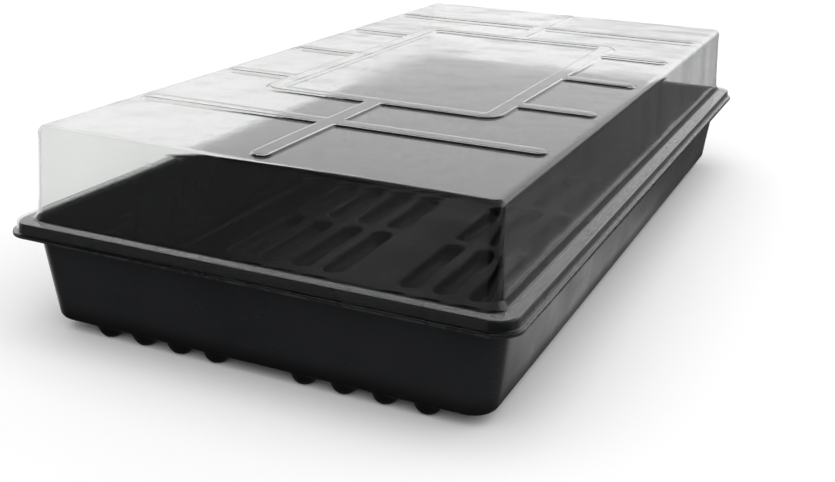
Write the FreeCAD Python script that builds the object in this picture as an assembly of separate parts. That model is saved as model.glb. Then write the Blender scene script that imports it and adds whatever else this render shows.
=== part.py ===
import FreeCAD, Part
import math
import os

# Humidity dome tray: a formed plastic growing tray and the clear dome that lifts off it.
# Millimetres. X runs across the width, Y along the length, Z up. The origin is under the
# middle of the tray, on the plane that its foot channels stand on.
# An inset is a distance in from the lip's outer edge, the same on all four sides.

# Outside of the rim
RIM_WIDTH = 279.4
RIM_LENGTH = 542.8
LIP_CORNER = 14.0

# Tray
TRAY_HEIGHT = 62.0
TRAY_SHEET = 1.0
FOOT_HEIGHT = 6.4
TRAY_LIP_TOP = 56.6
TRAY_SKIRT_FOOT_INSET = 2.9
TRAY_SKIRT_TOP_INSET = 3.4
TRAY_WALL_TOP_INSET = 9.0
TRAY_WALL_FOOT_INSET = 15.0
TRAY_WALL_TOP_CORNER = 14.0
TRAY_WALL_FOOT_CORNER = 13.0
TRAY_FOOT_ROUND = 4.0

# Channels pressed down into the tray's floor; their undersides are its feet
CHANNEL_RADIUS = 7.15
CHANNEL_PITCH = 22.1
CHANNELS_IN_GROUP = 4
GROUP_CENTRE = 58.5
CHANNEL_RUN_PITCH = 90.0
CHANNEL_GAP = 9.0
CHANNEL_END = 255.0
CHANNEL_BREAKS = 4

# Dome
DOME_SHEET = 0.5
SEAT_GAP = 0.35
DOME_TOP = 112.0
DOME_LIP_INSET = 0.2
DOME_SKIRT_FOOT_INSET = 2.05
DOME_SKIRT_TOP_INSET = 2.6
DOME_STEP_FOOT_INSET = 9.5
DOME_STEP_TOP_INSET = 11.7
DOME_STEP_TOP = 67.0
DOME_WALL_TOP_INSET = 14.0
DOME_STEP_CORNER = 8.0
DOME_WALL_CORNER = 6.5
DOME_TOP_ROUND = 4.5

# Stiffening ribs raised on the dome's top
RIB_HEIGHT = 1.3
RIB_BASE_WIDTH = 12.6
RIB_TOP_WIDTH = 9.4
FRAME_HALF_WIDTH = 69.0
FRAME_HALF_LENGTH = 120.0
FRAME_CORNER = 8.0
SPINE_TIP = 250.0
CROSS_RIB_Y = 175.0
SIDE_RIB_PITCH = 87.0
SIDE_RIB_TIP = 119.5

# How far two joined or cut solids reach through each other
PASS = 0.4
CHANNEL_PASS = 2.5


def polar(x, y, z, radius, degrees):
    """Point at an angle round the centre (x, y)."""
    turn = math.radians(degrees)
    return FreeCAD.Vector(x + radius * math.cos(turn), y + radius * math.sin(turn), z)


def round_loop(half_x, half_y, corner, z):
    """Closed rectangle with round corners, centred on the Z axis."""
    middle_x = half_x - corner
    middle_y = half_y - corner
    centres = [(middle_x, middle_y), (-middle_x, middle_y), (-middle_x, -middle_y), (middle_x, -middle_y)]
    arcs = []
    for index, (x, y) in enumerate(centres):
        arcs.append([polar(x, y, z, corner, 90 * index + turn) for turn in (0, 45, 90)])
    edges = []
    for index, (first, middle, last) in enumerate(arcs):
        following = arcs[(index + 1) % len(arcs)][0]
        edges.append(Part.Arc(first, middle, last).toShape())
        edges.append(Part.makeLine(last, following))
    return Part.Wire(edges)


def rim_solid(levels):
    """Solid through rounded rectangles, each given as (inset, corner radius, height)."""
    loops = []
    for inset, corner, z in levels:
        loops.append(round_loop(RIM_WIDTH / 2 - inset, RIM_LENGTH / 2 - inset, corner, z))
    return Part.makeLoft(loops, True, True)


def round_edges_at(solid, z, radius):
    """Fillet the loop of edges that lies at one height."""
    edges = []
    for edge in solid.Edges:
        box = edge.BoundBox
        if abs(box.ZMin - z) < 0.01 and abs(box.ZMax - z) < 0.01:
            edges.append(edge)
    return solid.makeFillet(radius, edges)


def stadium(start, end, half_width, z):
    """Closed loop with two straight sides and half-round ends, about a line in the XY plane."""
    first = FreeCAD.Vector(start[0], start[1], z)
    last = FreeCAD.Vector(end[0], end[1], z)
    along = (last - first).normalize() * half_width
    across = FreeCAD.Vector(-along.y, along.x, 0)
    edges = [
        Part.makeLine(first - across, last - across),
        Part.Arc(last - across, last + along, last + across).toShape(),
        Part.makeLine(last + across, first + across),
        Part.Arc(first + across, first - along, first - across).toShape(),
    ]
    return Part.Wire(edges)


def slab(z_low, z_high):
    """Block larger than the part between two heights."""
    corner = FreeCAD.Vector(-RIM_WIDTH, -RIM_LENGTH, z_low)
    return Part.makeBox(2 * RIM_WIDTH, 2 * RIM_LENGTH, z_high - z_low, corner)


# ---------------------------------------------------------------- tray

def tray_wall_inset(z):
    """Inset of the drafted wall's outer face at a height."""
    share = (z - FOOT_HEIGHT) / (TRAY_HEIGHT - FOOT_HEIGHT)
    return TRAY_WALL_FOOT_INSET + share * (TRAY_WALL_TOP_INSET - TRAY_WALL_FOOT_INSET)


def tray_basin(offset, z_top):
    """Solid bounded by the basin's wall and floor, drawn in by an offset from its outside."""
    z_floor = FOOT_HEIGHT + offset
    levels = [
        (tray_wall_inset(z_floor) + offset, TRAY_WALL_FOOT_CORNER - offset, z_floor),
        (tray_wall_inset(z_top) + offset, TRAY_WALL_TOP_CORNER - offset, z_top),
    ]
    return round_edges_at(rim_solid(levels), z_floor, TRAY_FOOT_ROUND - offset)


def tray_rim():
    """Rim turned outward and down from the basin's top edge, ending in a flat lip."""
    lip_underside = TRAY_LIP_TOP - TRAY_SHEET
    lip = rim_solid([(0, LIP_CORNER, lip_underside), (0, LIP_CORNER, TRAY_LIP_TOP)])
    skirt = rim_solid([
        (TRAY_SKIRT_FOOT_INSET, LIP_CORNER - TRAY_SKIRT_FOOT_INSET, lip_underside),
        (TRAY_SKIRT_TOP_INSET, LIP_CORNER - TRAY_SKIRT_TOP_INSET, TRAY_HEIGHT),
    ])
    foot_inset = TRAY_SKIRT_FOOT_INSET + TRAY_SHEET
    top_inset = TRAY_SKIRT_TOP_INSET + TRAY_SHEET
    hollow = rim_solid([
        (foot_inset, LIP_CORNER - foot_inset, lip_underside - PASS),
        (top_inset, LIP_CORNER - top_inset, TRAY_HEIGHT - TRAY_SHEET),
    ])
    return lip.fuse(skirt).cut(hollow)


def channel_runs():
    """Start and end of each run of channel along the length, between the flat breaks."""
    first_break = -CHANNEL_RUN_PITCH * (CHANNEL_BREAKS - 1) / 2
    starts = [-CHANNEL_END]
    ends = []
    for index in range(CHANNEL_BREAKS):
        middle = first_break + index * CHANNEL_RUN_PITCH
        ends.append(middle - CHANNEL_GAP / 2)
        starts.append(middle + CHANNEL_GAP / 2)
    ends.append(CHANNEL_END)
    return list(zip(starts, ends))


def channel_columns():
    """Places of the channels across the width, in two groups beside a flat middle strip."""
    columns = []
    for side in (-1, 1):
        for index in range(CHANNELS_IN_GROUP):
            offset = (index - (CHANNELS_IN_GROUP - 1) / 2) * CHANNEL_PITCH
            columns.append(side * GROUP_CENTRE + offset)
    return columns


def channel_run(length, radius, z_low, z_high):
    """Half-round trough with ball ends and a flat bottom, from the origin along +Y."""
    start = FreeCAD.Vector(0, radius, FOOT_HEIGHT)
    end = FreeCAD.Vector(0, length - radius, FOOT_HEIGHT)
    tube = Part.makeCylinder(radius, (end - start).Length, start, FreeCAD.Vector(0, 1, 0))
    round_bar = tube.fuse([Part.makeSphere(radius, start), Part.makeSphere(radius, end)])
    trough = round_bar.common(slab(z_low, FOOT_HEIGHT))
    rim = Part.Face(stadium((0, start.y), (0, end.y), radius, FOOT_HEIGHT))
    return trough.fuse(rim.extrude(FreeCAD.Vector(0, 0, z_high - FOOT_HEIGHT)))


def all_channels(inward, z_low, z_high):
    """Every channel, with its surface drawn in by a distance from the channel's outside."""
    solids = []
    for start, end in channel_runs():
        run = channel_run(end - start - 2 * inward, CHANNEL_RADIUS - inward, z_low, z_high)
        for x in channel_columns():
            solids.append(run.translated(FreeCAD.Vector(x, start + inward, 0)))
    return solids


def grow_tray():
    """Basin of one even sheet, with its rim and its floor channels."""
    outside = tray_basin(0, TRAY_HEIGHT)
    inside = tray_basin(TRAY_SHEET, TRAY_HEIGHT + PASS)
    feet = all_channels(0, 0, FOOT_HEIGHT + CHANNEL_PASS)
    hollows = all_channels(TRAY_SHEET, TRAY_SHEET, FOOT_HEIGHT + TRAY_SHEET + CHANNEL_PASS)
    body = outside.fuse([tray_rim()] + feet)
    return body.cut([inside] + hollows).removeSplitter()


# ---------------------------------------------------------------- dome

def dome_cover(offset, z_foot):
    """Solid bounded by the dome's wall and top, drawn in by an offset from its outside."""
    flange_top = TRAY_HEIGHT + SEAT_GAP + DOME_SHEET
    z_top = DOME_TOP - offset
    levels = [
        (DOME_STEP_FOOT_INSET + offset, DOME_STEP_CORNER - offset, z_foot),
        (DOME_STEP_FOOT_INSET + offset, DOME_STEP_CORNER - offset, flange_top - offset),
        (DOME_STEP_TOP_INSET + offset, DOME_WALL_CORNER - offset, DOME_STEP_TOP - offset),
        (DOME_WALL_TOP_INSET + offset, DOME_WALL_CORNER - offset, z_top),
    ]
    return round_edges_at(rim_solid(levels), z_top, DOME_TOP_ROUND - offset)


def dome_rim():
    """Flange that sits over the tray's rim, with a skirt and a flat lip outside it."""
    lip_underside = TRAY_LIP_TOP + SEAT_GAP
    flange_underside = TRAY_HEIGHT + SEAT_GAP
    flange_top = flange_underside + DOME_SHEET
    lip = rim_solid([
        (DOME_LIP_INSET, LIP_CORNER - DOME_LIP_INSET, lip_underside),
        (DOME_LIP_INSET, LIP_CORNER - DOME_LIP_INSET, lip_underside + DOME_SHEET),
    ])
    skirt = rim_solid([
        (DOME_SKIRT_FOOT_INSET, LIP_CORNER - DOME_SKIRT_FOOT_INSET, lip_underside),
        (DOME_SKIRT_TOP_INSET, LIP_CORNER - DOME_SKIRT_TOP_INSET, flange_top),
    ])
    foot_inset = DOME_SKIRT_FOOT_INSET + DOME_SHEET
    top_inset = DOME_SKIRT_TOP_INSET + DOME_SHEET
    hollow = rim_solid([
        (foot_inset, LIP_CORNER - foot_inset, lip_underside - PASS),
        (foot_inset, LIP_CORNER - foot_inset, lip_underside),
        (top_inset, LIP_CORNER - top_inset, flange_underside),
    ])
    return lip.fuse(skirt).cut(hollow)


def straight_rib(start, end, inward, z_low, z_high):
    """Raised rib along a line, with sloping sides and half-round ends."""
    base = stadium(start, end, RIB_BASE_WIDTH / 2 - inward, z_low)
    top = stadium(start, end, RIB_TOP_WIDTH / 2 - inward, z_high)
    return Part.makeLoft([base, top], True, True)


def frame_rib(inward, z_low, z_high):
    """Raised rib round a rectangle with round corners."""
    base = RIB_BASE_WIDTH / 2 - inward
    top = RIB_TOP_WIDTH / 2 - inward
    shells = []
    for side in (1, -1):
        loops = []
        for reach, z in ((side * base, z_low), (side * top, z_high)):
            loops.append(round_loop(
                FRAME_HALF_WIDTH + reach, FRAME_HALF_LENGTH + reach, FRAME_CORNER + reach, z))
        shells.append(Part.makeLoft(loops, True, True))
    return shells[0].cut(shells[1])


def rib_lines():
    """Start and end of each straight rib's middle line, half a rib short of its round tip."""
    spine_end = SPINE_TIP - RIB_BASE_WIDTH / 2
    side_end = SIDE_RIB_TIP - RIB_BASE_WIDTH / 2
    lines = []
    for side in (-1, 1):
        lines.append(((0, side * FRAME_HALF_LENGTH), (0, side * spine_end)))
        lines.append(((-side_end, side * CROSS_RIB_Y), (side_end, side * CROSS_RIB_Y)))
        for row in (-1, 0, 1):
            y = row * SIDE_RIB_PITCH
            lines.append(((side * FRAME_HALF_WIDTH, y), (side * side_end, y)))
    return lines


def all_ribs(inward, z_low, z_high):
    """The whole rib pattern, its surface drawn in by a distance from the ribs' outside."""
    straight = [straight_rib(start, end, inward, z_low, z_high) for start, end in rib_lines()]
    return frame_rib(inward, z_low, z_high).fuse(straight)


def humidity_dome():
    """Clear cover of one even sheet, with its rim and the ribs on its top."""
    lip_underside = TRAY_LIP_TOP + SEAT_GAP
    flange_underside = TRAY_HEIGHT + SEAT_GAP
    outside = dome_cover(0, flange_underside)
    inside = dome_cover(DOME_SHEET, lip_underside)
    ribs = all_ribs(0, DOME_TOP - DOME_SHEET, DOME_TOP + RIB_HEIGHT)
    grooves = all_ribs(DOME_SHEET, DOME_TOP - 2 * DOME_SHEET, DOME_TOP + RIB_HEIGHT - DOME_SHEET)
    body = outside.fuse([dome_rim(), ribs])
    return body.cut([inside, grooves]).removeSplitter()


os.makedirs("parts", exist_ok=True)
for name, solid in (("grow_tray", grow_tray()), ("humidity_dome", humidity_dome())):
    box = solid.BoundBox
    print(name, "valid", solid.isValid(), "solids", len(solid.Solids), "faces", len(solid.Faces),
          "volume cm3", round(solid.Volume / 1000, 1))
    print("  from", round(box.XMin, 2), round(box.YMin, 2), round(box.ZMin, 2),
          "to", round(box.XMax, 2), round(box.YMax, 2), round(box.ZMax, 2))
    solid.exportStep(os.path.join("parts", name + ".step"))
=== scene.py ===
import math

import bpy
import numpy as np
from mathutils import Matrix, Vector


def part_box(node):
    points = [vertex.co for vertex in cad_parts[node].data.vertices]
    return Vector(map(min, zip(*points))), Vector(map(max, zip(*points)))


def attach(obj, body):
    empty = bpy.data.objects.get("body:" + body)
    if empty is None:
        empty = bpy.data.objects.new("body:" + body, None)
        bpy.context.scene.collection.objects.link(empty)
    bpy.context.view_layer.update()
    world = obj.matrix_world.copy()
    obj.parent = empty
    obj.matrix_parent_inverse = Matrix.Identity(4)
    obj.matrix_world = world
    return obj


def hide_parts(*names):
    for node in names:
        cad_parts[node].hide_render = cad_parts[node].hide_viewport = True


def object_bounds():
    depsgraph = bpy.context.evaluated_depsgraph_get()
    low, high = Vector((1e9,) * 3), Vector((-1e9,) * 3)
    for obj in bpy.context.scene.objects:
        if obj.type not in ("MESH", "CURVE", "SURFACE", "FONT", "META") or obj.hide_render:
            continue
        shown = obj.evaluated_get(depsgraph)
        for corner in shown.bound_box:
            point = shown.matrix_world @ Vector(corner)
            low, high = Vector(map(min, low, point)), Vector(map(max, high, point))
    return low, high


# Looks for the humidity dome tray. Metres, Z up, in the CAD model's own frame.
# An inset is a distance in from the lip's outer edge, the same on all four sides.

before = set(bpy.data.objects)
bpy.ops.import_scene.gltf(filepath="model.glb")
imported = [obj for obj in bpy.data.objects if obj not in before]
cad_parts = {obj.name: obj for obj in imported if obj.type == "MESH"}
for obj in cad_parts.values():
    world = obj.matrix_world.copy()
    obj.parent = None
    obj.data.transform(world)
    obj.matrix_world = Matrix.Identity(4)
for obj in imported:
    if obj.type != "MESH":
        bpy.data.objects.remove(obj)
cad_low, cad_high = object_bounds()
tray_low, tray_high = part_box("grow_tray")
dome_low, dome_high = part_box("humidity_dome")

MM = 0.001
HALF_WIDTH = tray_high[0]
HALF_LENGTH = tray_high[1]

# Tray sheet: heights and insets of its upper surface
TRAY_SHEET = 1.0 * MM
RIM_TOP = tray_high[2]
FLOOR_TOP = tray_low[2] + 7.4 * MM
TRAY_LIP_TOP = RIM_TOP - 5.4 * MM
TRAY_FLAT_INSET = 19.0 * MM
TRAY_WALL_FOOT_INSET = 15.9 * MM
TRAY_WALL_TOP_INSET = 10.0 * MM
TRAY_SKIRT_TOP_INSET = 3.4 * MM
TRAY_SKIRT_FOOT_INSET = 2.9 * MM
TRAY_FOOT_ROUND = 3.0 * MM
TRAY_RIM_ROUND = 1.8 * MM
TRAY_LIP_ROUND = 0.8 * MM

# Radius of the rounded corners seen from above: insets, then the radius at each
TRAY_CORNERS = ([0.0, 3.4 * MM, 10.0 * MM, 16.0 * MM, 19.0 * MM],
                [14.0 * MM, 10.6 * MM, 13.0 * MM, 12.0 * MM, 9.0 * MM])

# Channels pressed down into the floor
CHANNEL_DEPTH = FLOOR_TOP - TRAY_SHEET - tray_low[2]
CHANNEL_RADIUS = 6.15 * MM
CHANNEL_PITCH = 22.1 * MM
CHANNELS_IN_GROUP = 4
GROUP_CENTRE = 58.5 * MM
RUN_PITCH = 90.0 * MM
RUN_GAP = 11.0 * MM
RUN_BREAKS = 4
CHANNEL_END = 254.0 * MM
CHANNEL_SIDE_DEGREES = 68.0
CHANNEL_LIP_ROUND = 2.0 * MM

# Dome sheet: heights and insets of its upper surface
DOME_SHEET = 0.5 * MM
RIB_HEIGHT = 1.3 * MM
DOME_TOP = dome_high[2] - RIB_HEIGHT
DOME_LIP_TOP = dome_low[2] + DOME_SHEET
FLANGE_TOP = dome_low[2] + 5.9 * MM
STEP_TOP = FLANGE_TOP + 4.15 * MM
DOME_LIP_INSET = 0.2 * MM
DOME_SKIRT_FOOT_INSET = 2.05 * MM
DOME_SKIRT_TOP_INSET = 2.6 * MM
STEP_FOOT_INSET = 9.5 * MM
STEP_TOP_INSET = 11.7 * MM
DOME_WALL_TOP_INSET = 14.0 * MM
DOME_TOP_ROUND = 4.5 * MM
DOME_BEND_ROUND = 1.2 * MM
DOME_STEP_ROUND = 2.0 * MM
DOME_LIP_ROUND = 0.6 * MM

# Radius of the rounded corners seen from above: insets, then the radius at each
DOME_CORNERS = ([0.2 * MM, 2.6 * MM, 9.5 * MM, 11.7 * MM, 14.0 * MM, 18.5 * MM],
                [13.8 * MM, 11.4 * MM, 8.0 * MM, 6.5 * MM, 6.5 * MM, 2.0 * MM])

# Stiffening ribs on the dome's top
RIB_BASE_HALF = 6.3 * MM
RIB_TOP_HALF = 4.6 * MM
RIB_JOIN_ROUND = 1.2 * MM
FRAME_HALF_X = 69.0 * MM
FRAME_HALF_Y = 120.0 * MM
FRAME_CORNER = 8.0 * MM
SPINE_TIP = 250.0 * MM
CROSS_RIB_Y = 175.0 * MM
SIDE_RIB_PITCH = 87.0 * MM
SIDE_RIB_TIP = 119.5 * MM

# Colours and gloss
BLACK_DEEP = (0.011, 0.0115, 0.0125, 1)
BLACK_PALE = (0.018, 0.0185, 0.020, 1)
# Painted shade: the tray floor's colour, darker than the walls' so the bottom of the tray looks shaded
BLACK_FLOOR_PAINTED_SHADE = (0.003, 0.003, 0.0034, 1)
BLACK_SCUFF = (0.036, 0.037, 0.039, 1)
CLEAR_TINT = (0.95, 0.96, 0.955, 1)
CLEAR_DUSTY = (0.90, 0.905, 0.895, 1)
WALL_ROUGHNESS = 0.27
ROUGHNESS_SWING = 0.05
FLOOR_ROUGHNESS = 0.5
# Heights between which the floor turns matt and its colour darkens with painted shade, then how much of that
# painted shade it takes
MATT_AND_SHADED_BELOW = 8.0 * MM
GLOSSY_AND_UNSHADED_ABOVE = 20.0 * MM
FLOOR_PAINTED_SHADE = 0.75
BLACK_SPECULAR = 0.12
CLEAR_IOR = 1.5
CLEAR_ROUGHNESS = (0.02, 0.07)

# Cells per metre of each noise, and how many times closer they lie along X, Y and Z
CLOUD_CELLS = 22
GRAIN_CELLS = 2600
SCUFF_CELLS = 90
SCUFF_SQUEEZE = (1.0, 0.25, 6.0)
TRAY_WEAR_CELLS = 160
TRAY_RIPPLE_CELLS = 60
HAZE_CELLS = 18
DOME_WEAR_CELLS = 210
DOME_RIPPLE_CELLS = 34
DOME_RIPPLE_SQUEEZE = (1.0, 1.0, 0.5)
LENGTHWAYS_CELLS = 60
LENGTHWAYS_SQUEEZE = (16.0, 1.0, 5.0)
CROSSWAYS_CELLS = 70
CROSSWAYS_SQUEEZE = (1.0, 14.0, 4.0)

# Noise values between which each mark fades in, or the cloud and haze change the gloss
CLOUD_FADE = (0.3, 0.7)
SCUFF_FADE = (0.6, 0.72)
TRAY_WEAR_FADE = (0.42, 0.6)
HAZE_FADE = (0.35, 0.7)
DOME_WEAR_FADE = (0.45, 0.62)
LENGTHWAYS_FADE = (0.67, 0.71)
CROSSWAYS_FADE = (0.66, 0.7)

# Depths of surface detail, and widths of worn edges
GRAIN_DEPTH = 0.012 * MM
TRAY_RIPPLE_DEPTH = 0.15 * MM
DOME_RIPPLE_DEPTH = 0.25 * MM
SCRATCH_DEPTH = 0.004 * MM
TRAY_LIP_WEAR = 0.8 * MM
DOME_LIP_WEAR = 1.0 * MM
RIB_WEAR = 0.25 * MM
FOOT_WEAR_FROM_FLOOR = (0.2 * MM, 1.0 * MM)
CREST_WEAR_BELOW_TOP = (0.7 * MM, 0.1 * MM)

# How far scuffs, worn edges and scratches change the colour and add to the roughness
SCUFF_COLOUR = 0.08
SCUFF_ROUGHNESS = 0.04
WEAR_COLOUR = 0.45
TRAY_WEAR_ROUGHNESS = 0.2
DOME_WEAR_ROUGHNESS = 0.15
SCRATCH_ROUGHNESS = 0.06
CREST_SHARE = 0.6
RIB_SHARE = 0.5

# How far the uneven sheets belly out
DOME_SWELL = 0.22 * MM
DOME_TOP_SWELL = 0.12 * MM
DOME_FLUTES = 0.11 * MM
TRAY_SWELL = 0.25 * MM

# Mesh spacing
CORNER_STEPS = 6
ARC_STEPS = 7
FINE_STEP = 0.6 * MM
COARSE_STEP = 5.0 * MM
WALL_STEP = 4.0 * MM
BAND_MARGIN = 1.8 * MM
SHARP_ANGLE = math.radians(55)


# ---------------------------------------------------------------- sheet meshes

def graded(limit, bands):
    """Coordinates from -limit to limit, close together inside the (centre, half width) bands."""
    cuts = {-limit, limit}
    for centre, half in bands:
        cuts.update(edge for edge in (centre - half, centre + half) if abs(edge) < limit)
    cuts = sorted(cuts)
    places = []
    for low, high in zip(cuts, cuts[1:]):
        middle = (low + high) / 2
        inside = any(abs(middle - centre) < half for centre, half in bands)
        count = max(1, math.ceil((high - low) / (FINE_STEP if inside else COARSE_STEP)))
        places += [low + (high - low) * i / count for i in range(count)]
    return places + [limit]


def panel_axis(straight, corner, bands):
    """Coordinates across a flat panel, with the steps round its corners at both ends."""
    turns = [math.pi / 4 * (i + 1) / CORNER_STEPS for i in range(CORNER_STEPS)]
    ends = [straight + corner * math.sqrt(2) * math.sin(turn) for turn in turns]
    return np.array([-end for end in reversed(ends)] + graded(straight, bands) + ends)


def rounded_panel(half_x, half_y, corner, x_bands, y_bands):
    """Grid over a rectangle with round corners. Returns x and y as 2D arrays, and the straight halves."""
    straight = (half_x - corner, half_y - corner)
    x, y = np.meshgrid(panel_axis(straight[0], corner, x_bands),
                       panel_axis(straight[1], corner, y_bands), indexing="ij")
    u = np.maximum(np.abs(x) - straight[0], 0) / corner
    v = np.maximum(np.abs(y) - straight[1], 0) / corner
    round_x = np.sign(x) * (straight[0] + corner * u * np.sqrt(1 - v * v / 2))
    round_y = np.sign(y) * (straight[1] + corner * v * np.sqrt(1 - u * u / 2))
    return np.where(u > 0, round_x, x), np.where(v > 0, round_y, y), straight


def loop_indices(shape):
    """Indices of a grid's outer points, counterclockwise from its first corner."""
    index = np.arange(shape[0] * shape[1]).reshape(shape)
    return np.concatenate([index[:-1, 0], index[-1, :-1], index[:0:-1, -1], index[0, :0:-1]])


def bend(path, corners):
    """Points along an outline of (inset, height, radius) corners, each bend an arc of its radius."""
    points = [np.array(path[0][:2])]
    for before, here, after in zip(path, path[1:], path[2:]):
        corner = np.array(here[:2])
        back = np.array(before[:2]) - corner
        ahead = np.array(after[:2]) - corner
        back /= np.linalg.norm(back)
        ahead /= np.linalg.norm(ahead)
        half_angle = math.acos(float(np.clip(back @ ahead, -1, 1))) / 2
        reach = here[2] / math.tan(half_angle)
        middle = (back + ahead) / np.linalg.norm(back + ahead)
        centre = corner + middle * here[2] / math.sin(half_angle)
        first = corner + back * reach - centre
        last = corner + ahead * reach - centre
        total = math.pi - 2 * half_angle
        for i in range(ARC_STEPS + 1):
            share = i / ARC_STEPS
            arm = first * math.sin((1 - share) * total) + last * math.sin(share * total)
            points.append(centre + arm / math.sin(total))
    points.append(np.array(path[-1][:2]))
    filled = [points[0]]
    for start, end in zip(points, points[1:]):
        count = max(1, math.ceil(np.linalg.norm(end - start) / WALL_STEP))
        filled += [start + (end - start) * (i + 1) / count for i in range(count)]
    return [(inset, z, float(np.interp(inset, *corners))) for inset, z in filled]


def vertex_normals(points, quads):
    """Unit normal at each point, the mean over the quads around it."""
    across = np.cross(points[quads[:, 2]] - points[quads[:, 0]], points[quads[:, 3]] - points[quads[:, 1]])
    across /= np.maximum(np.linalg.norm(across, axis=1, keepdims=True), 1e-12)
    normals = np.zeros_like(points)
    for corner in range(4):
        np.add.at(normals, quads[:, corner], across)
    return normals / np.linalg.norm(normals, axis=1, keepdims=True)


def formed_sheet(name, panel, outline, relief, waves, thickness):
    """Closed sheet: a panel carried on through rings round its edge, then given its thickness.

    relief gives the upper surface's height above its plain form, and waves how far the sheet
    bellies out along its normal. Both take arrays of points.
    """
    x, y, straight = panel
    shape = x.shape
    corner = outline[0][2]
    points = [np.stack([x.ravel(), y.ravel(), np.full(x.size, outline[0][1])], axis=1)]
    loop = loop_indices(shape)
    rim = points[0][loop][:, :2]
    centres = np.clip(rim, [-straight[0], -straight[1]], straight)
    facing = (rim - centres) / corner
    along = centres / straight
    index = np.arange(x.size).reshape(shape)
    cells = [index[:-1, :-1], index[1:, :-1], index[1:, 1:], index[:-1, 1:]]
    quads = [np.stack(cells, axis=-1).reshape(-1, 4)]
    count = x.size
    size = len(loop)
    for inset, z, radius in outline[1:]:
        halves = np.array([HALF_WIDTH - inset - radius, HALF_LENGTH - inset - radius])
        ring = along * halves + facing * radius
        points.append(np.column_stack([ring, np.full(size, z)]))
        following = np.arange(count, count + size)
        quads.append(np.stack([loop, following, np.roll(following, -1), np.roll(loop, -1)], axis=1))
        loop = following
        count += size
    points = np.concatenate(points)
    quads = np.concatenate(quads)
    points[:, 2] += relief(points[:, 0], points[:, 1])
    points += vertex_normals(points, quads) * waves(points)[:, None]
    under = points - vertex_normals(points, quads) * thickness
    edge = np.stack([loop, loop + count, np.roll(loop, -1) + count, np.roll(loop, -1)], axis=1)
    quads = np.concatenate([quads, quads[:, ::-1] + count, edge])
    mesh = bpy.data.meshes.new(name)
    mesh.from_pydata(np.concatenate([points, under]).tolist(), [], quads.tolist())
    mesh.validate()
    mesh.shade_smooth()
    mesh.set_sharp_from_angle(angle=SHARP_ANGLE)
    piece = bpy.data.objects.new(name, mesh)
    bpy.context.scene.collection.objects.link(piece)
    return piece


def to_segment(x, y, start, end):
    """Distance in plan from a straight line between two points."""
    along = np.array(end) - np.array(start)
    share = np.clip(((x - start[0]) * along[0] + (y - start[1]) * along[1]) / (along @ along), 0, 1)
    return np.hypot(x - start[0] - share * along[0], y - start[1] - share * along[1])


def smooth_least(first, second, blend):
    """The smaller of two distances, rounded off where they are nearly the same."""
    share = np.maximum(blend - np.abs(first - second), 0) / blend
    return np.minimum(first, second) - share * share * blend / 4


def ease(share):
    """Smooth step from 0 to 1."""
    share = np.clip(share, 0, 1)
    return share * share * (3 - 2 * share)


# ---------------------------------------------------------------- dome

def rib_lines():
    """Start and end of each straight rib's middle line."""
    spine_end = SPINE_TIP - RIB_BASE_HALF
    side_end = SIDE_RIB_TIP - RIB_BASE_HALF
    lines = []
    for side in (-1, 1):
        lines.append(((0, side * FRAME_HALF_Y), (0, side * spine_end)))
        lines.append(((-side_end, side * CROSS_RIB_Y), (side_end, side * CROSS_RIB_Y)))
        for row in (-1, 0, 1):
            y = row * SIDE_RIB_PITCH
            lines.append(((side * FRAME_HALF_X, y), (side * side_end, y)))
    return lines


def rib_relief(x, y):
    """Height of the ribs above the dome's plain top."""
    qx = np.abs(x) - FRAME_HALF_X + FRAME_CORNER
    qy = np.abs(y) - FRAME_HALF_Y + FRAME_CORNER
    outside = np.hypot(np.maximum(qx, 0), np.maximum(qy, 0)) + np.minimum(np.maximum(qx, qy), 0)
    nearest = np.abs(outside - FRAME_CORNER)
    for start, end in rib_lines():
        nearest = smooth_least(nearest, to_segment(x, y, start, end), RIB_JOIN_ROUND)
    return RIB_HEIGHT * ease((RIB_BASE_HALF - nearest) / (RIB_BASE_HALF - RIB_TOP_HALF))


def dome_waves(points):
    """Slight unevenness of the thin clear sheet, none of it outward or on the rim."""
    x, y, z = points.T
    # Waves in radians per metre
    swell = (np.sin(x * 31 + y * 9 + 1.3) * np.sin(y * 23 - z * 17 + 0.4)
             + 0.6 * np.sin(y * 47 + z * 29 + 2.1) * np.sin(x * 43 - z * 11))
    height = ease((z - STEP_TOP) / (10 * MM)) * ease((DOME_TOP - 2 * MM - z) / (6 * MM))
    on_top = ease((z - DOME_TOP + 0.5 * MM) / (0.5 * MM))
    flutes = np.sin(y * 128 + 1.4 * np.sin(y * 37) + z * 24) * np.sin(y * 17 + 0.8) + 1
    slow = (DOME_SWELL * height + DOME_TOP_SWELL * on_top) * (swell + 1.6)
    return -slow - DOME_FLUTES * height * flutes


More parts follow.
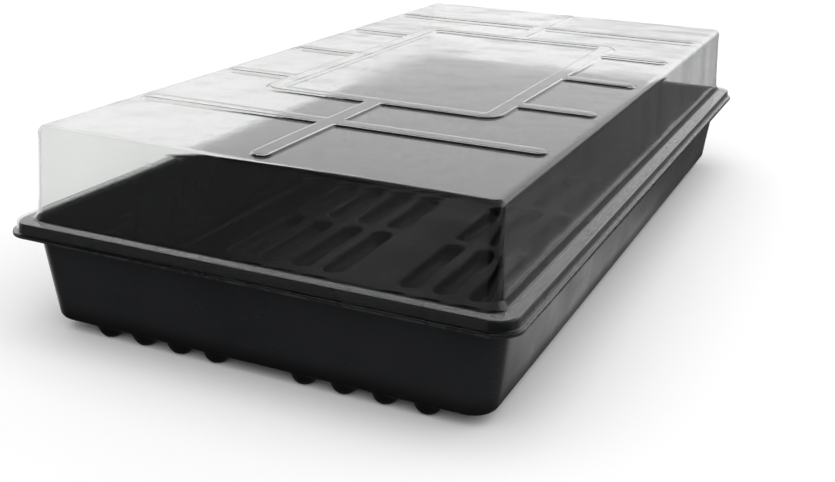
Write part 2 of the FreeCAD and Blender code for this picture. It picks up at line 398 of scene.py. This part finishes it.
def make_dome():
    """Clear sheet: ribbed top, walls, flared step, and the rim over the tray's."""
    rib = RIB_BASE_HALF + BAND_MARGIN
    x_bands = [(0, rib), (-FRAME_HALF_X, rib), (FRAME_HALF_X, rib)]
    x_bands += [(side * (SIDE_RIB_TIP - RIB_BASE_HALF / 2), rib / 2 + BAND_MARGIN) for side in (-1, 1)]
    y_bands = [(row * SIDE_RIB_PITCH, rib) for row in (-1, 0, 1)]
    for side in (-1, 1):
        y_bands += [(side * FRAME_HALF_Y, rib), (side * CROSS_RIB_Y, rib)]
        y_bands.append((side * (SPINE_TIP - RIB_BASE_HALF / 2), rib / 2 + BAND_MARGIN))
    flat_inset = DOME_WALL_TOP_INSET + DOME_TOP_ROUND
    path = [
        (flat_inset + DOME_TOP_ROUND, DOME_TOP, 0),
        (DOME_WALL_TOP_INSET, DOME_TOP, DOME_TOP_ROUND),
        (STEP_TOP_INSET, STEP_TOP, DOME_STEP_ROUND),
        (STEP_FOOT_INSET, FLANGE_TOP, DOME_STEP_ROUND),
        (DOME_SKIRT_TOP_INSET, FLANGE_TOP, DOME_BEND_ROUND),
        (DOME_SKIRT_FOOT_INSET, DOME_LIP_TOP, DOME_LIP_ROUND),
        (DOME_LIP_INSET, DOME_LIP_TOP, 0),
    ]
    outline = bend(path, DOME_CORNERS)[1:]
    while outline[0][1] >= DOME_TOP and outline[1][1] >= DOME_TOP:
        outline.pop(0)
    inset, _, corner = outline[0]
    panel = rounded_panel(HALF_WIDTH - inset, HALF_LENGTH - inset, corner, x_bands, y_bands)
    return formed_sheet("clear_dome", panel, outline, rib_relief, dome_waves, DOME_SHEET)


# ---------------------------------------------------------------- tray

def channel_columns():
    """Places of the channels across the width."""
    columns = []
    for side in (-1, 1):
        for index in range(CHANNELS_IN_GROUP):
            columns.append(side * GROUP_CENTRE + (index - (CHANNELS_IN_GROUP - 1) / 2) * CHANNEL_PITCH)
    return columns


def channel_runs():
    """Start and end of each run of channel along the length."""
    breaks = [(index - (RUN_BREAKS - 1) / 2) * RUN_PITCH for index in range(RUN_BREAKS)]
    starts = [-CHANNEL_END] + [place + RUN_GAP / 2 for place in breaks]
    ends = [place - RUN_GAP / 2 for place in breaks] + [CHANNEL_END]
    return list(zip(starts, ends))


def channel_section(distance):
    """Depth of a channel at a distance from its middle line: flat, round, steep, then eased out."""
    side = math.radians(CHANNEL_SIDE_DEGREES)
    round_end = CHANNEL_RADIUS * math.sin(side)
    depth_at_side = TRAY_SHEET + CHANNEL_RADIUS * math.cos(side)
    lip_drop = CHANNEL_LIP_ROUND * (1 - math.cos(side))
    steep_end = round_end + (depth_at_side - lip_drop) / math.tan(side)
    end = steep_end + CHANNEL_LIP_ROUND * math.sin(side)
    bowl = TRAY_SHEET + np.sqrt(np.maximum(CHANNEL_RADIUS ** 2 - distance ** 2, 0))
    steep = lip_drop + (steep_end - distance) * math.tan(side)
    left = np.clip(end - distance, 0, CHANNEL_LIP_ROUND)
    lip = CHANNEL_LIP_ROUND - np.sqrt(CHANNEL_LIP_ROUND ** 2 - left ** 2)
    beyond_bowl = np.where(distance < steep_end, steep, lip)
    depth = np.where(distance < round_end, np.minimum(bowl, CHANNEL_DEPTH), beyond_bowl)
    return np.where(distance < end, depth, 0)


def floor_relief(x, y):
    """Depth of the channels, as a height below the plain floor."""
    column = np.min([np.abs(x - place) for place in channel_columns()], axis=0)
    beyond = np.full(x.shape, 1.0)
    for start, end in channel_runs():
        first = start + CHANNEL_RADIUS
        last = end - CHANNEL_RADIUS
        beyond = np.minimum(beyond, np.maximum(np.maximum(first - y, y - last), 0))
    return -channel_section(np.hypot(column, beyond))


def tray_waves(points):
    """Slight unevenness of the walls' sheet, none of it on the rim or the feet."""
    x, y, z = points.T
    # Waves in radians per metre
    swell = (np.sin(x * 27 + y * 11 + 0.7) * np.sin(y * 19 + z * 13 + 2.4)
             + 0.5 * np.sin(y * 41 - z * 31 + 1.1) * np.sin(x * 37 + z * 19))
    height = ease((z - FLOOR_TOP - 3 * MM) / (12 * MM)) * ease((RIM_TOP - 5 * MM - z) / (10 * MM))
    return TRAY_SWELL * height * swell


def make_tray():
    """Black sheet: floor with its channels, drafted walls, and a rim turned out and down."""
    half = CHANNEL_RADIUS + BAND_MARGIN + CHANNEL_LIP_ROUND
    x_bands = [(place, half) for place in channel_columns()]
    y_bands = []
    for start, end in channel_runs():
        reach = half / 2
        y_bands += [(start + CHANNEL_RADIUS - reach, reach), (end - CHANNEL_RADIUS + reach, reach)]
    path = [
        (TRAY_FLAT_INSET + TRAY_FOOT_ROUND, FLOOR_TOP, 0),
        (TRAY_WALL_FOOT_INSET, FLOOR_TOP, TRAY_FOOT_ROUND),
        (TRAY_WALL_TOP_INSET, RIM_TOP, TRAY_RIM_ROUND),
        (TRAY_SKIRT_TOP_INSET, RIM_TOP, TRAY_RIM_ROUND),
        (TRAY_SKIRT_FOOT_INSET, TRAY_LIP_TOP, TRAY_LIP_ROUND),
        (0, TRAY_LIP_TOP, 0),
    ]
    outline = bend(path, TRAY_CORNERS)[1:]
    while outline[0][1] <= FLOOR_TOP and outline[1][1] <= FLOOR_TOP:
        outline.pop(0)
    inset, _, corner = outline[0]
    panel = rounded_panel(HALF_WIDTH - inset, HALF_LENGTH - inset, corner, x_bands, y_bands)
    return formed_sheet("black_tray", panel, outline, floor_relief, tray_waves, TRAY_SHEET)


# ---------------------------------------------------------------- materials

def new_material(name):
    """Material of a name, with its nodes, links and main shader."""
    material = bpy.data.materials.new(name)
    material.use_nodes = True
    nodes = material.node_tree.nodes
    return material, nodes, material.node_tree.links, nodes["Principled BSDF"]


def ramp(nodes, links, value, low, high, at_low, at_high):
    """Socket that eases from one number to another as a value goes from low to high."""
    node = nodes.new("ShaderNodeMapRange")
    node.interpolation_type = "SMOOTHSTEP"
    links.new(value, node.inputs["Value"])
    for key, number in (("From Min", low), ("From Max", high), ("To Min", at_low), ("To Max", at_high)):
        node.inputs[key].default_value = number
    return node.outputs["Result"]


def calculate(nodes, links, operation, first, second):
    """Socket holding the sum, product or the like of two sockets or numbers."""
    node = nodes.new("ShaderNodeMath")
    node.operation = operation
    for socket, value in zip(node.inputs, (first, second)):
        if isinstance(value, (int, float)):
            socket.default_value = value
        else:
            links.new(value, socket)
    return node.outputs[0]


def mix(nodes, links, share, first, second):
    """Socket with the colour between two colours, by a socket that runs from 0 to 1."""
    node = nodes.new("ShaderNodeMix")
    node.data_type = "RGBA"
    links.new(share, node.inputs["Factor"])
    for key, value in (("A", first), ("B", second)):
        socket = next(item for item in node.inputs if item.name == key and item.type == "RGBA")
        if isinstance(value, tuple):
            socket.default_value = value
        else:
            links.new(value, socket)
    return next(item for item in node.outputs if item.type == "RGBA")


def noise(nodes, links, place, scale, detail=3.0, squeeze=(1, 1, 1)):
    """Noise value at a place, of a scale in cells per metre, closer where the squeeze is over 1."""
    mapping = nodes.new("ShaderNodeMapping")
    mapping.inputs["Scale"].default_value = squeeze
    links.new(place, mapping.inputs["Vector"])
    node = nodes.new("ShaderNodeTexNoise")
    node.inputs["Scale"].default_value = scale
    node.inputs["Detail"].default_value = detail
    links.new(mapping.outputs[0], node.inputs["Vector"])
    return node.outputs["Fac"]


def bump(nodes, links, height, distance, under=None):
    """Normal socket for a height, laid over another normal socket."""
    node = nodes.new("ShaderNodeBump")
    node.inputs["Distance"].default_value = distance
    links.new(height, node.inputs["Height"])
    if under is not None:
        links.new(under, node.inputs["Normal"])
    return node.outputs["Normal"]


def place_sockets(nodes, links):
    """The object's own coordinates, whole and as x, y and z."""
    way = nodes.new("ShaderNodeTexCoord").outputs["Object"]
    split = nodes.new("ShaderNodeSeparateXYZ")
    links.new(way, split.inputs[0])
    return way, split.outputs["X"], split.outputs["Y"], split.outputs["Z"]


def lip_share(nodes, links, x, y, width):
    """1 along the lip's outer edge, falling to 0 a width in from it."""
    over_x = calculate(nodes, links, "SUBTRACT", calculate(nodes, links, "ABSOLUTE", x, 0.0), HALF_WIDTH)
    over_y = calculate(nodes, links, "SUBTRACT", calculate(nodes, links, "ABSOLUTE", y, 0.0), HALF_LENGTH)
    over = calculate(nodes, links, "MAXIMUM", over_x, over_y)
    return ramp(nodes, links, over, -width, -0.2 * width, 0.0, 1.0)


def black_plastic():
    """Black sheet: fine grain, cloudy gloss, matt floor darkened with painted shade, drawn-out scuffs, worn
    edges and feet.
    """
    material, nodes, links, shader = new_material("black_formed_plastic")
    place, x, y, z = place_sockets(nodes, links)
    cloud = noise(nodes, links, place, CLOUD_CELLS)
    grain = noise(nodes, links, place, GRAIN_CELLS, 2.0)
    scuff = noise(nodes, links, place, SCUFF_CELLS, 4.0, SCUFF_SQUEEZE)
    scuff = ramp(nodes, links, scuff, *SCUFF_FADE, 0.0, 1.0)
    patchy = noise(nodes, links, place, TRAY_WEAR_CELLS)
    patchy = ramp(nodes, links, patchy, *TRAY_WEAR_FADE, 0.0, 1.0)
    feet = ramp(nodes, links, z, *FOOT_WEAR_FROM_FLOOR, 1.0, 0.0)
    crest_low, crest_high = (RIM_TOP - below for below in CREST_WEAR_BELOW_TOP)
    crest = ramp(nodes, links, z, crest_low, crest_high, 0.0, CREST_SHARE)
    edge = calculate(nodes, links, "MAXIMUM", feet, lip_share(nodes, links, x, y, TRAY_LIP_WEAR))
    edge = calculate(nodes, links, "MAXIMUM", edge, crest)
    wear = calculate(nodes, links, "MULTIPLY", edge, patchy)
    body = mix(nodes, links, cloud, BLACK_DEEP, BLACK_PALE)
    # Painted shade: the colour darkens towards the bottom of the tray
    low = ramp(nodes, links, z, MATT_AND_SHADED_BELOW, GLOSSY_AND_UNSHADED_ABOVE, FLOOR_PAINTED_SHADE, 0.0)
    body = mix(nodes, links, low, body, BLACK_FLOOR_PAINTED_SHADE)
    body = mix(nodes, links, calculate(nodes, links, "MULTIPLY", scuff, SCUFF_COLOUR), body, BLACK_SCUFF)
    body = mix(nodes, links, calculate(nodes, links, "MULTIPLY", wear, WEAR_COLOUR), body, BLACK_SCUFF)
    links.new(body, shader.inputs["Base Color"])
    smoothest = WALL_ROUGHNESS - ROUGHNESS_SWING
    gloss = ramp(nodes, links, cloud, *CLOUD_FADE, smoothest, WALL_ROUGHNESS + ROUGHNESS_SWING)
    floor = ramp(nodes, links, z, MATT_AND_SHADED_BELOW, GLOSSY_AND_UNSHADED_ABOVE, FLOOR_ROUGHNESS - WALL_ROUGHNESS, 0.0)
    rough = calculate(nodes, links, "ADD", gloss, floor)
    scuffed = calculate(nodes, links, "MULTIPLY", scuff, SCUFF_ROUGHNESS)
    rough = calculate(nodes, links, "ADD", rough, scuffed)
    worn = calculate(nodes, links, "MULTIPLY", wear, TRAY_WEAR_ROUGHNESS)
    rough = calculate(nodes, links, "ADD", rough, worn)
    links.new(rough, shader.inputs["Roughness"])
    ripple = bump(nodes, links, noise(nodes, links, place, TRAY_RIPPLE_CELLS, 1.0), TRAY_RIPPLE_DEPTH)
    links.new(bump(nodes, links, grain, GRAIN_DEPTH, ripple), shader.inputs["Normal"])
    shader.inputs["Specular IOR Level"].default_value = BLACK_SPECULAR
    return material


def clear_plastic():
    """Clear sheet: soft ripples, faint haze and fine scratches, and a scuffed lip and rib tops."""
    material, nodes, links, shader = new_material("clear_formed_plastic")
    place, x, y, z = place_sockets(nodes, links)
    haze = noise(nodes, links, place, HAZE_CELLS, 4.0)
    patchy = noise(nodes, links, place, DOME_WEAR_CELLS)
    patchy = ramp(nodes, links, patchy, *DOME_WEAR_FADE, 0.0, 1.0)
    crossways = noise(nodes, links, place, CROSSWAYS_CELLS, 5.0, CROSSWAYS_SQUEEZE)
    crossways = ramp(nodes, links, crossways, *CROSSWAYS_FADE, 0.0, 1.0)
    lengthways = noise(nodes, links, place, LENGTHWAYS_CELLS, 5.0, LENGTHWAYS_SQUEEZE)
    lengthways = ramp(nodes, links, lengthways, *LENGTHWAYS_FADE, 0.0, 1.0)
    scratch = calculate(nodes, links, "MAXIMUM", crossways, lengthways)
    rib_top = DOME_TOP + RIB_HEIGHT
    tops = ramp(nodes, links, z, rib_top - RIB_WEAR, rib_top, 0.0, RIB_SHARE)
    edge = calculate(nodes, links, "MAXIMUM", tops, lip_share(nodes, links, x, y, DOME_LIP_WEAR))
    wear = calculate(nodes, links, "MULTIPLY", edge, patchy)
    tint = mix(nodes, links, haze, CLEAR_TINT, CLEAR_DUSTY)
    links.new(tint, shader.inputs["Base Color"])
    rough = ramp(nodes, links, haze, *HAZE_FADE, *CLEAR_ROUGHNESS)
    scratched = calculate(nodes, links, "MULTIPLY", scratch, SCRATCH_ROUGHNESS)
    rough = calculate(nodes, links, "ADD", rough, scratched)
    worn = calculate(nodes, links, "MULTIPLY", wear, DOME_WEAR_ROUGHNESS)
    rough = calculate(nodes, links, "ADD", rough, worn)
    links.new(rough, shader.inputs["Roughness"])
    above_rim = ramp(nodes, links, z, STEP_TOP - 4 * MM, STEP_TOP + 8 * MM, 0.0, 1.0)
    swell = noise(nodes, links, place, DOME_RIPPLE_CELLS, 1.0, DOME_RIPPLE_SQUEEZE)
    swell = calculate(nodes, links, "MULTIPLY", above_rim, swell)
    ripple = bump(nodes, links, swell, DOME_RIPPLE_DEPTH)
    links.new(bump(nodes, links, scratch, SCRATCH_DEPTH, ripple), shader.inputs["Normal"])
    shader.inputs["IOR"].default_value = CLEAR_IOR
    shader.inputs["Transmission Weight"].default_value = 1.0
    return material


# ---------------------------------------------------------------- studio

CAMERA_PLACE = (272.93 * MM, -684.93 * MM, 258.9 * MM)
CAMERA_YAW = math.radians(23.469)
CAMERA_PITCH = math.radians(20.134)
CAMERA_ROLL = math.radians(1.898)
LENS_MM = 48.757
SENSOR_MM = 36
FLOOR_HALF = 8.0
FLOOR_COLOUR = (0.93, 0.93, 0.93, 1)
FLOOR_GRAIN = 0.9
FLOOR_SPECULAR = 0.1
ROOM_FRONT = 0.12
ROOM_BACK = 0.95
ROOM_LOW = 0.12
ROOM_BAND = 0.14
ROOM_OVERHEAD = 0.15
BACKDROP = 0.97
SOFT_WAY = (0.2, -0.35, 1.0)
SOFT_SPREAD = math.radians(100)
SOFT_STRENGTH = 3.0

# Where the room that the plastics mirror changes from one brightness to the next, given by
# how far the direction looked in points along Y, X or Z, from -1 to 1
FRONT_TO_BACK_Y = (-0.35, 0.3)
SUNK_Z = (-0.56, -0.42)
BAND_FOOT_Z = (-0.39, -0.31)
BAND_HEAD_Z = (-0.02, 0.22)
BAND_END_X = (-0.3, -0.05)
OVERHEAD_Z = (0.5, 0.8)


def add_camera():
    """Camera at the photograph's viewing angle."""
    data = bpy.data.cameras.new("camera")
    data.lens = LENS_MM
    data.sensor_width = SENSOR_MM
    data.clip_start = 0.01
    camera = bpy.data.objects.new("camera", data)
    ahead = Vector((-math.sin(CAMERA_YAW) * math.cos(CAMERA_PITCH),
                    math.cos(CAMERA_YAW) * math.cos(CAMERA_PITCH), -math.sin(CAMERA_PITCH)))
    level = Vector((math.cos(CAMERA_YAW), math.sin(CAMERA_YAW), 0))
    upright = level.cross(ahead)
    right = level * math.cos(CAMERA_ROLL) + upright * math.sin(CAMERA_ROLL)
    up = upright * math.cos(CAMERA_ROLL) - level * math.sin(CAMERA_ROLL)
    camera.matrix_world = Matrix.Translation(CAMERA_PLACE) @ Matrix((right, up, -ahead)).transposed().to_4x4()
    bpy.context.scene.collection.objects.link(camera)
    bpy.context.scene.camera = camera


def reflected(nodes, links):
    """Socket that is 1 for light that has met a reflection, even one inside the clear sheet."""
    path = nodes.new("ShaderNodeLightPath")
    return calculate(nodes, links, "GREATER_THAN", path.outputs["Glossy Depth"], 0.5)


def add_floor():
    """Pale floor, clear from below. The plastics mirror the room's light and not the floor."""
    mesh = bpy.data.meshes.new("studio_floor")
    corners = [(x * FLOOR_HALF, y * FLOOR_HALF, 0) for x, y in ((-1, -1), (1, -1), (1, 1), (-1, 1))]
    mesh.from_pydata(corners, [], [(0, 1, 2, 3)])
    floor = bpy.data.objects.new("studio_floor", mesh)
    floor.location.z = cad_low[2]
    material, nodes, links, shader = new_material("pale_floor")
    shader.inputs["Base Color"].default_value = FLOOR_COLOUR
    shader.inputs["Roughness"].default_value = FLOOR_GRAIN
    shader.inputs["Specular IOR Level"].default_value = FLOOR_SPECULAR
    behind = nodes.new("ShaderNodeNewGeometry").outputs["Backfacing"]
    unseen = calculate(nodes, links, "MAXIMUM", reflected(nodes, links), behind)
    either = nodes.new("ShaderNodeMixShader")
    clear = nodes.new("ShaderNodeBsdfTransparent")
    links.new(unseen, either.inputs[0])
    links.new(shader.outputs[0], either.inputs[1])
    links.new(clear.outputs[0], either.inputs[2])
    links.new(either.outputs[0], nodes["Material Output"].inputs["Surface"])
    mesh.materials.append(material)
    bpy.context.scene.collection.objects.link(floor)


def add_world():
    """Plain pale backdrop, and in its place a room that the plastics mirror.

    The room has a white far wall crossed by a dark band, and is dark below, above and in front.
    """
    world = bpy.data.worlds.new("studio")
    bpy.context.scene.world = world
    world.use_nodes = True
    nodes = world.node_tree.nodes
    links = world.node_tree.links
    nodes["Background"].inputs["Color"].default_value = (1, 1, 1, 1)
    way = nodes.new("ShaderNodeTexCoord")
    split = nodes.new("ShaderNodeSeparateXYZ")
    links.new(way.outputs["Generated"], split.inputs[0])
    room = ramp(nodes, links, split.outputs["Y"], *FRONT_TO_BACK_Y, ROOM_FRONT, ROOM_BACK)
    sunk = ramp(nodes, links, split.outputs["Z"], *SUNK_Z, ROOM_LOW, 1.0)
    band = ramp(nodes, links, split.outputs["Z"], *BAND_FOOT_Z, 1.0, ROOM_BAND)
    rise = ramp(nodes, links, split.outputs["Z"], *BAND_HEAD_Z, ROOM_BAND, 1.0)
    left = ramp(nodes, links, split.outputs["X"], *BAND_END_X, 1.0, 0.0)
    rise = calculate(nodes, links, "MAXIMUM", rise, left)
    rise = calculate(nodes, links, "MULTIPLY", sunk, calculate(nodes, links, "MAXIMUM", band, rise))
    fall = ramp(nodes, links, split.outputs["Z"], *OVERHEAD_Z, 1.0, ROOM_OVERHEAD)
    level = calculate(nodes, links, "MULTIPLY", room, calculate(nodes, links, "MULTIPLY", rise, fall))
    path = nodes.new("ShaderNodeLightPath")
    bounces = calculate(nodes, links, "ADD", path.outputs["Glossy Depth"], path.outputs["Diffuse Depth"])
    direct = calculate(nodes, links, "LESS_THAN", bounces, 0.5)
    seen = calculate(nodes, links, "MULTIPLY", direct, path.outputs["Is Transmission Ray"])
    seen = calculate(nodes, links, "MAXIMUM", seen, path.outputs["Is Camera Ray"])
    plain = calculate(nodes, links, "MULTIPLY", seen, BACKDROP)
    hidden = calculate(nodes, links, "MULTIPLY", calculate(nodes, links, "SUBTRACT", 1.0, seen), level)
    links.new(calculate(nodes, links, "ADD", plain, hidden), nodes["Background"].inputs["Strength"])


def add_soft_light(name, way, spread, strength):
    """Broad even light from one side of the sky, left out of every reflection."""
    data = bpy.data.lights.new(name, "SUN")
    data.angle = spread
    data.energy = strength
    data.use_nodes = True
    nodes = data.node_tree.nodes
    links = data.node_tree.links
    unseen = calculate(nodes, links, "SUBTRACT", 1.0, reflected(nodes, links))
    links.new(unseen, nodes["Emission"].inputs["Strength"])
    lamp = bpy.data.objects.new(name, data)
    lamp.visible_glossy = False
    lamp.rotation_euler = (-Vector(way)).to_track_quat("-Z", "Y").to_euler()
    bpy.context.scene.collection.objects.link(lamp)


dome = make_dome()
dome.data.materials.append(clear_plastic())
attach(dome, "dome")
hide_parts("humidity_dome")

tray = make_tray()
tray.data.materials.append(black_plastic())
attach(tray, "tray")
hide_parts("grow_tray")

add_floor()
add_world()
add_soft_light("overhead_softbox", SOFT_WAY, SOFT_SPREAD, SOFT_STRENGTH)
add_camera()

scene = bpy.context.scene
scene.view_settings.view_transform = "Standard"
